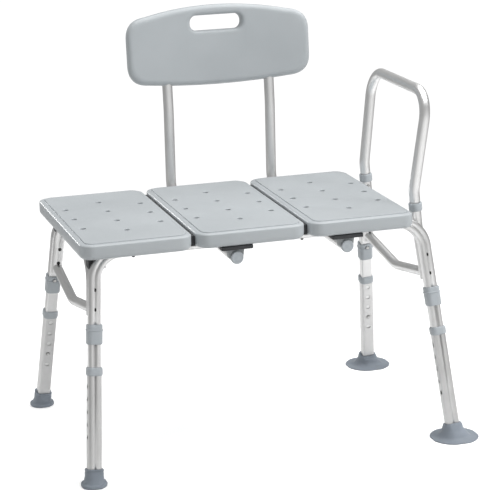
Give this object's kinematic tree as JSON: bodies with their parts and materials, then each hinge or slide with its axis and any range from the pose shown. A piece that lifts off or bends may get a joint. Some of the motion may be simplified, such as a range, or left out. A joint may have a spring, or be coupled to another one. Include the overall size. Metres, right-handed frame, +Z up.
{
  "type": "bath transfer bench",
  "caption": "Bath transfer bench with a three-panel plastic seat, plug-in backrest and arm rail on leaning telescopic legs with rubber tips and suction cups.",
  "frame": {"origin": "on the floor, in the middle of the bench's box", "axes": "+X to the bench's right seen from the front (the arm rail side), +Y to the back, +Z up"},
  "size_m": [0.8496, 0.6332, 0.8578],
  "materials": {
    "seat_plastic": "blow-moulded polyethylene, pale blue-grey, fine satin pebble",
    "collar_plastic": "moulded plastic, mid blue-grey, fine matt grain",
    "foot_rubber": "moulded rubber, mid grey, matt",
    "aluminium_tube": "drawn tube, satin anodised, fine lengthwise brushing",
    "bracket_plastic": "moulded plastic, near black, fine matt grain",
    "snap_button": "stamped spring steel, satin"
  },
  "bodies": {
    "bench_frame": {"front_frame": "aluminium_tube", "front_left_inner_tube": "aluminium_tube", "front_left_coupler": "collar_plastic", "front_right_inner_tube": "aluminium_tube", "front_right_coupler": "collar_plastic", "rear_frame": "aluminium_tube", "rear_left_inner_tube": "aluminium_tube", "rear_left_coupler": "collar_plastic", "rear_right_inner_tube": "aluminium_tube", "rear_right_coupler": "collar_plastic", "left_side_rail": "aluminium_tube", "front_corner_block": "bracket_plastic", "rear_corner_block": "bracket_plastic", "front_arm_socket": "aluminium_tube", "rear_arm_socket": "aluminium_tube", "left_brace": "aluminium_tube", "right_brace": "aluminium_tube", "seat_panel_left": "seat_plastic", "seat_panel_centre": "seat_plastic", "seat_panel_right": "seat_plastic", "left_panel_joiner": "bracket_plastic", "right_panel_joiner": "bracket_plastic", "left_cross_tube": "aluminium_tube", "left_front_bracket": "bracket_plastic", "left_rear_bracket": "bracket_plastic", "left_front_cap": "collar_plastic", "right_cross_tube": "aluminium_tube", "right_front_bracket": "bracket_plastic", "right_rear_bracket": "bracket_plastic", "right_front_cap": "collar_plastic", "front_arm_collar": "collar_plastic", "rear_arm_collar": "collar_plastic"},
    "front_left_leg": {"front_left_lower_leg": "aluminium_tube", "front_left_ring_collar": "collar_plastic", "front_left_rubber_tip": "foot_rubber"},
    "front_left_height_button": {"front_left_height_button": "snap_button"},
    "front_left_leg_button": {"front_left_leg_button": "snap_button"},
    "front_right_leg": {"front_right_lower_leg": "aluminium_tube", "front_right_ring_collar": "collar_plastic", "front_right_suction_cup": "foot_rubber"},
    "front_right_height_button": {"front_right_height_button": "snap_button"},
    "front_right_leg_button": {"front_right_leg_button": "snap_button"},
    "rear_left_leg": {"rear_left_lower_leg": "aluminium_tube", "rear_left_ring_collar": "collar_plastic", "rear_left_rubber_tip": "foot_rubber"},
    "rear_left_height_button": {"rear_left_height_button": "snap_button"},
    "rear_left_leg_button": {"rear_left_leg_button": "snap_button"},
    "rear_right_leg": {"rear_right_lower_leg": "aluminium_tube", "rear_right_ring_collar": "collar_plastic", "rear_right_suction_cup": "foot_rubber"},
    "rear_right_height_button": {"rear_right_height_button": "snap_button"},
    "rear_right_leg_button": {"rear_right_leg_button": "snap_button"},
    "arm": {"arm_rail": "aluminium_tube"},
    "front_arm_button": {"front_arm_button": "snap_button"},
    "rear_arm_button": {"rear_arm_button": "snap_button"},
    "backrest": {"backrest_panel": "seat_plastic", "left_backrest_post": "aluminium_tube", "right_backrest_post": "aluminium_tube"},
    "left_backrest_button": {"left_backrest_button": "snap_button"},
    "right_backrest_button": {"right_backrest_button": "snap_button"}
  },
  "joints": [
    {"name": "front_left_height", "type": "slide", "parent": "bench_frame", "child": "front_left_leg", "axis": [-0.0875, -0.1925, -0.9774], "range_m": [-0.0254, 0.0762], "deforming": ["front_left_height_button"]},
    {"name": "front_left_height_button_press", "type": "slide", "parent": "bench_frame", "child": "front_left_height_button", "axis": [0, -0.9811, 0.1933], "range_m": [0, 0.0045], "stiffness_N_per_m": 600},
    {"name": "front_left_leg_button_press", "type": "slide", "parent": "bench_frame", "child": "front_left_leg_button", "axis": [0, -0.9811, 0.1933], "range_m": [0, 0.0062], "stiffness_N_per_m": 600},
    {"name": "front_right_height", "type": "slide", "parent": "bench_frame", "child": "front_right_leg", "axis": [0.0875, -0.1925, -0.9774], "range_m": [-0.0254, 0.0762], "deforming": ["front_right_height_button"]},
    {"name": "front_right_height_button_press", "type": "slide", "parent": "bench_frame", "child": "front_right_height_button", "axis": [0, -0.9811, 0.1933], "range_m": [0, 0.0045], "stiffness_N_per_m": 600},
    {"name": "front_right_leg_button_press", "type": "slide", "parent": "bench_frame", "child": "front_right_leg_button", "axis": [0, -0.9811, 0.1933], "range_m": [0, 0.0062], "stiffness_N_per_m": 600},
    {"name": "rear_left_height", "type": "slide", "parent": "bench_frame", "child": "rear_left_leg", "axis": [-0.0875, 0.1925, -0.9774], "range_m": [-0.0254, 0.0762], "deforming": ["rear_left_height_button"]},
    {"name": "rear_left_height_button_press", "type": "slide", "parent": "bench_frame", "child": "rear_left_height_button", "axis": [0, 0.9811, 0.1933], "range_m": [0, 0.0045], "stiffness_N_per_m": 600},
    {"name": "rear_left_leg_button_press", "type": "slide", "parent": "bench_frame", "child": "rear_left_leg_button", "axis": [0, 0.9811, 0.1933], "range_m": [0, 0.0062], "stiffness_N_per_m": 600},
    {"name": "rear_right_height", "type": "slide", "parent": "bench_frame", "child": "rear_right_leg", "axis": [0.0875, 0.1925, -0.9774], "range_m": [-0.0254, 0.0762], "deforming": ["rear_right_height_button"]},
    {"name": "rear_right_height_button_press", "type": "slide", "parent": "bench_frame", "child": "rear_right_height_button", "axis": [0, 0.9811, 0.1933], "range_m": [0, 0.0045], "stiffness_N_per_m": 600},
    {"name": "rear_right_leg_button_press", "type": "slide", "parent": "bench_frame", "child": "rear_right_leg_button", "axis": [0, 0.9811, 0.1933], "range_m": [0, 0.0062], "stiffness_N_per_m": 600},
    {"name": "arm_lift", "type": "slide", "parent": "bench_frame", "child": "arm", "axis": [-0.0891, 0, 0.996], "range_m": [0, 0.06], "deforming": ["front_arm_button", "rear_arm_button"]},
    {"name": "front_arm_button_press", "type": "slide", "parent": "arm", "child": "front_arm_button", "axis": [0, -1, 0], "range_m": [0, 0.0047], "stiffness_N_per_m": 600},
    {"name": "rear_arm_button_press", "type": "slide", "parent": "arm", "child": "rear_arm_button", "axis": [0, 1, 0], "range_m": [0, 0.0047], "stiffness_N_per_m": 600},
    {"name": "backrest_slide", "type": "slide", "parent": "bench_frame", "child": "backrest", "axis": [0, 1, 0], "range_m": [0, 0.125], "deforming": ["left_backrest_button", "right_backrest_button"]},
    {"name": "left_backrest_button_press", "type": "slide", "parent": "backrest", "child": "left_backrest_button", "axis": [0, 0, 1], "range_m": [0, 0.0046], "stiffness_N_per_m": 600},
    {"name": "right_backrest_button_press", "type": "slide", "parent": "backrest", "child": "right_backrest_button", "axis": [0, 0, 1], "range_m": [0, 0.0046], "stiffness_N_per_m": 600}
  ]
}
